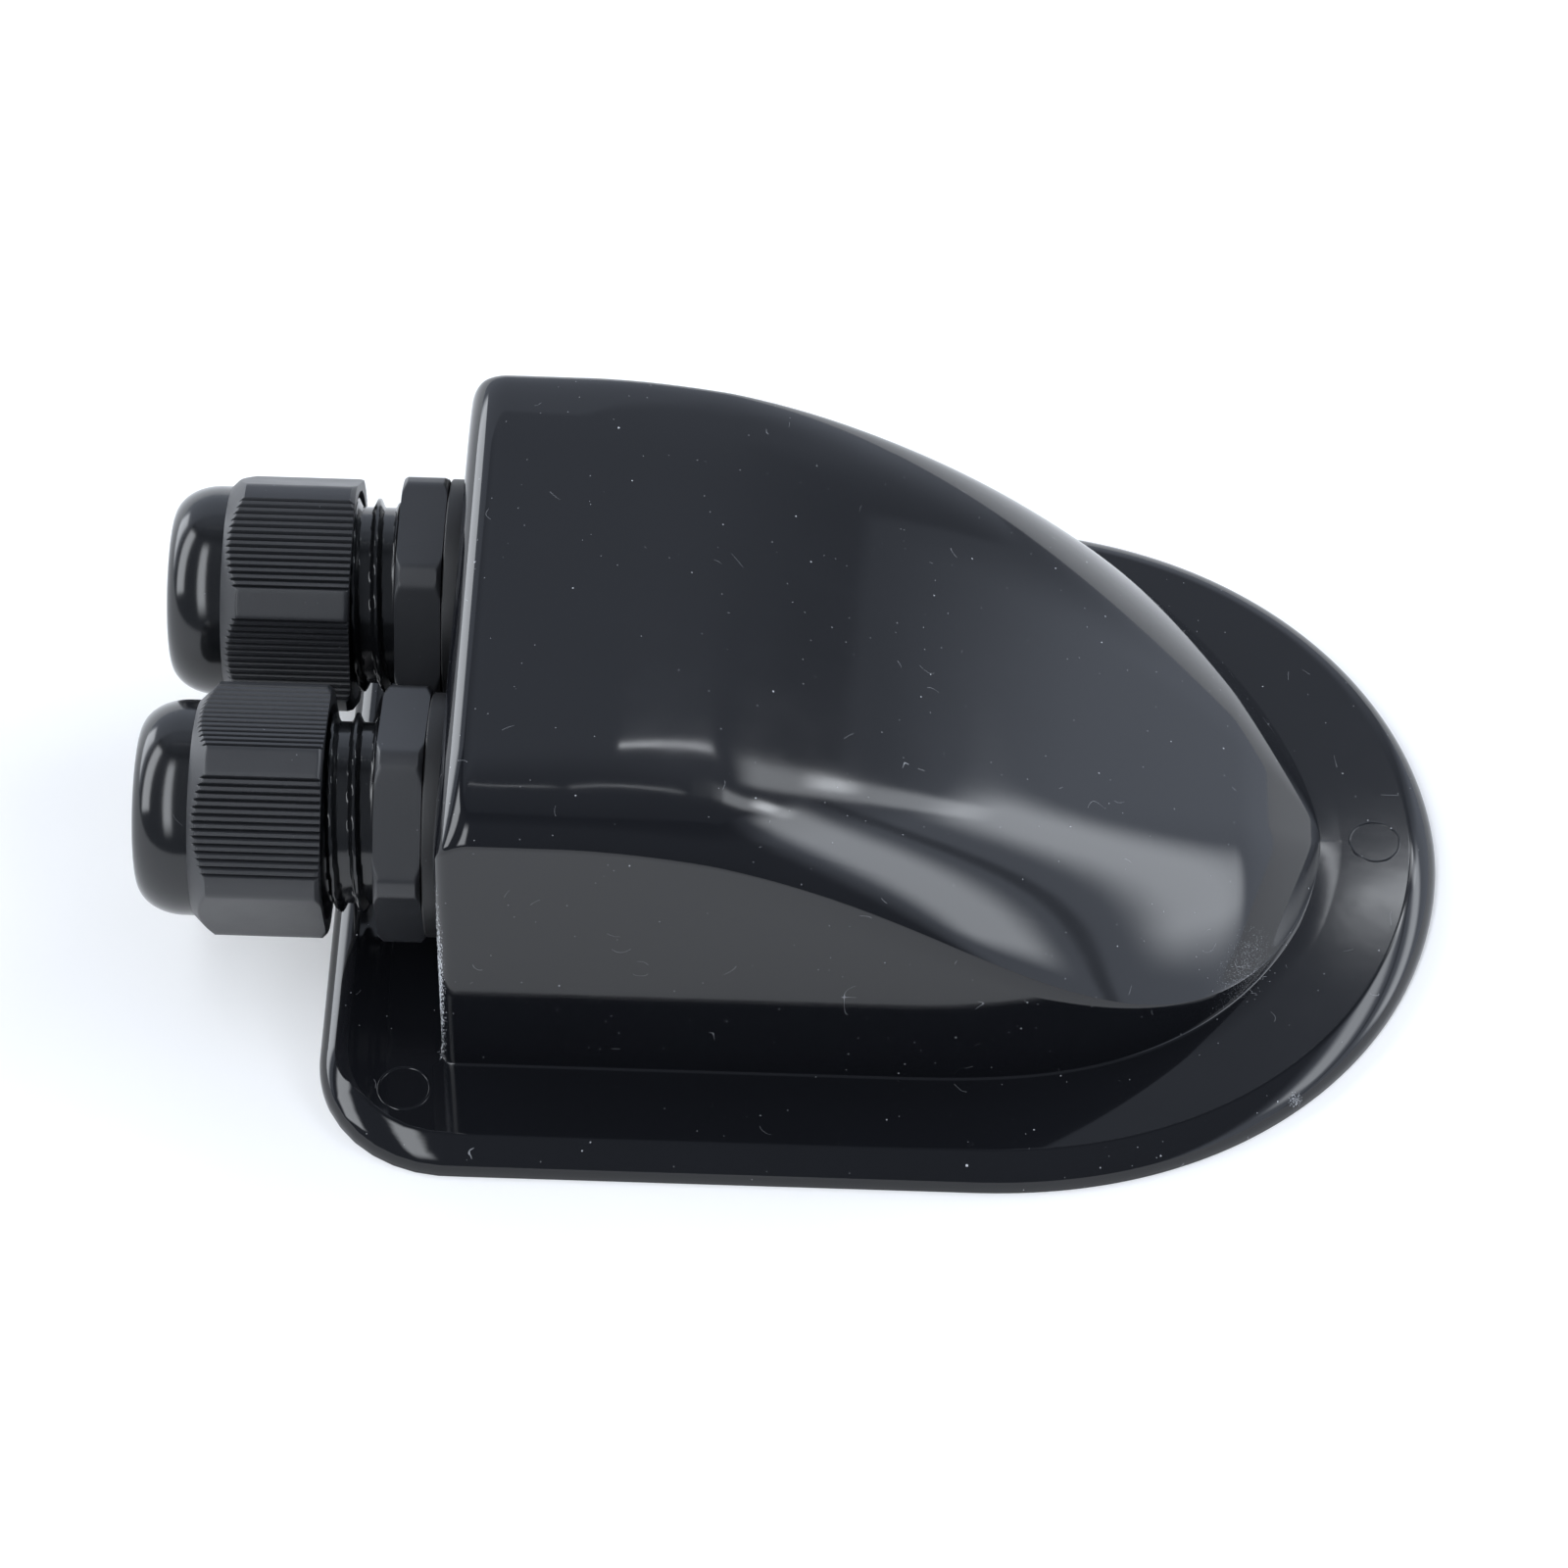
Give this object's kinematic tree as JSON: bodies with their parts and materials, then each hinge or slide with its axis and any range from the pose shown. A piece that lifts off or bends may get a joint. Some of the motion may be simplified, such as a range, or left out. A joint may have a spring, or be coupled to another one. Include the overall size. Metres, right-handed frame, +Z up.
{
  "type": "roof cable entry box",
  "caption": "Moulded hood on a bonded flange that leads cables through a roof, with compression cable glands in its upright rear wall",
  "frame": {"origin": "on the roof plane, below the middle of the outer face of the gland wall", "axes": "+X from the glands to the nose, +Y across the hood to the far gland, +Z up from the roof"},
  "size_m": [0.1373, 0.0908, 0.04],
  "materials": {
    "housing_abs": "glossy moulded ABS, near black",
    "gland_nylon": "semi-matt moulded nylon, near black",
    "claw_nylon": "matt moulded nylon, dark grey",
    "gasket_rubber": "matt rubber washer, black",
    "seal_rubber": "matt rubber, black"
  },
  "bodies": {
    "box": {"housing": "housing_abs", "near_gland_body": "gland_nylon", "near_gasket": "gasket_rubber", "near_locknut": "gland_nylon", "far_gland_body": "gland_nylon", "far_gasket": "gasket_rubber", "far_locknut": "gland_nylon"},
    "near_clamp": {"near_claw": "claw_nylon", "near_seal": "seal_rubber"},
    "near_nut": {"near_sealing_nut": "gland_nylon"},
    "far_clamp": {"far_claw": "claw_nylon", "far_seal": "seal_rubber"},
    "far_nut": {"far_sealing_nut": "gland_nylon"}
  },
  "joints": [
    {"name": "near_nut_travel", "type": "slide", "parent": "box", "child": "near_clamp", "axis": [1, 0, 0], "range_m": [-0.00381, 0.00361]},
    {"name": "near_nut_turn", "type": "hinge", "parent": "near_clamp", "child": "near_nut", "pos_m": [-0.0118, -0.015, 0.0216], "axis": [1, 0, 0], "range_deg": [-570, 540]},
    {"name": "far_nut_travel", "type": "slide", "parent": "box", "child": "far_clamp", "axis": [1, 0, 0], "range_m": [-0.00441, 0.00301]},
    {"name": "far_nut_turn", "type": "hinge", "parent": "far_clamp", "child": "far_nut", "pos_m": [-0.0112, 0.015, 0.0216], "axis": [1, 0, 0], "range_deg": [-660, 450]}
  ],
  "couplings": [
    {"joint": "near_nut_travel", "follows": "near_nut_turn", "m_per_rad": 0.00038197},
    {"joint": "far_nut_travel", "follows": "far_nut_turn", "m_per_rad": 0.00038197}
  ]
}
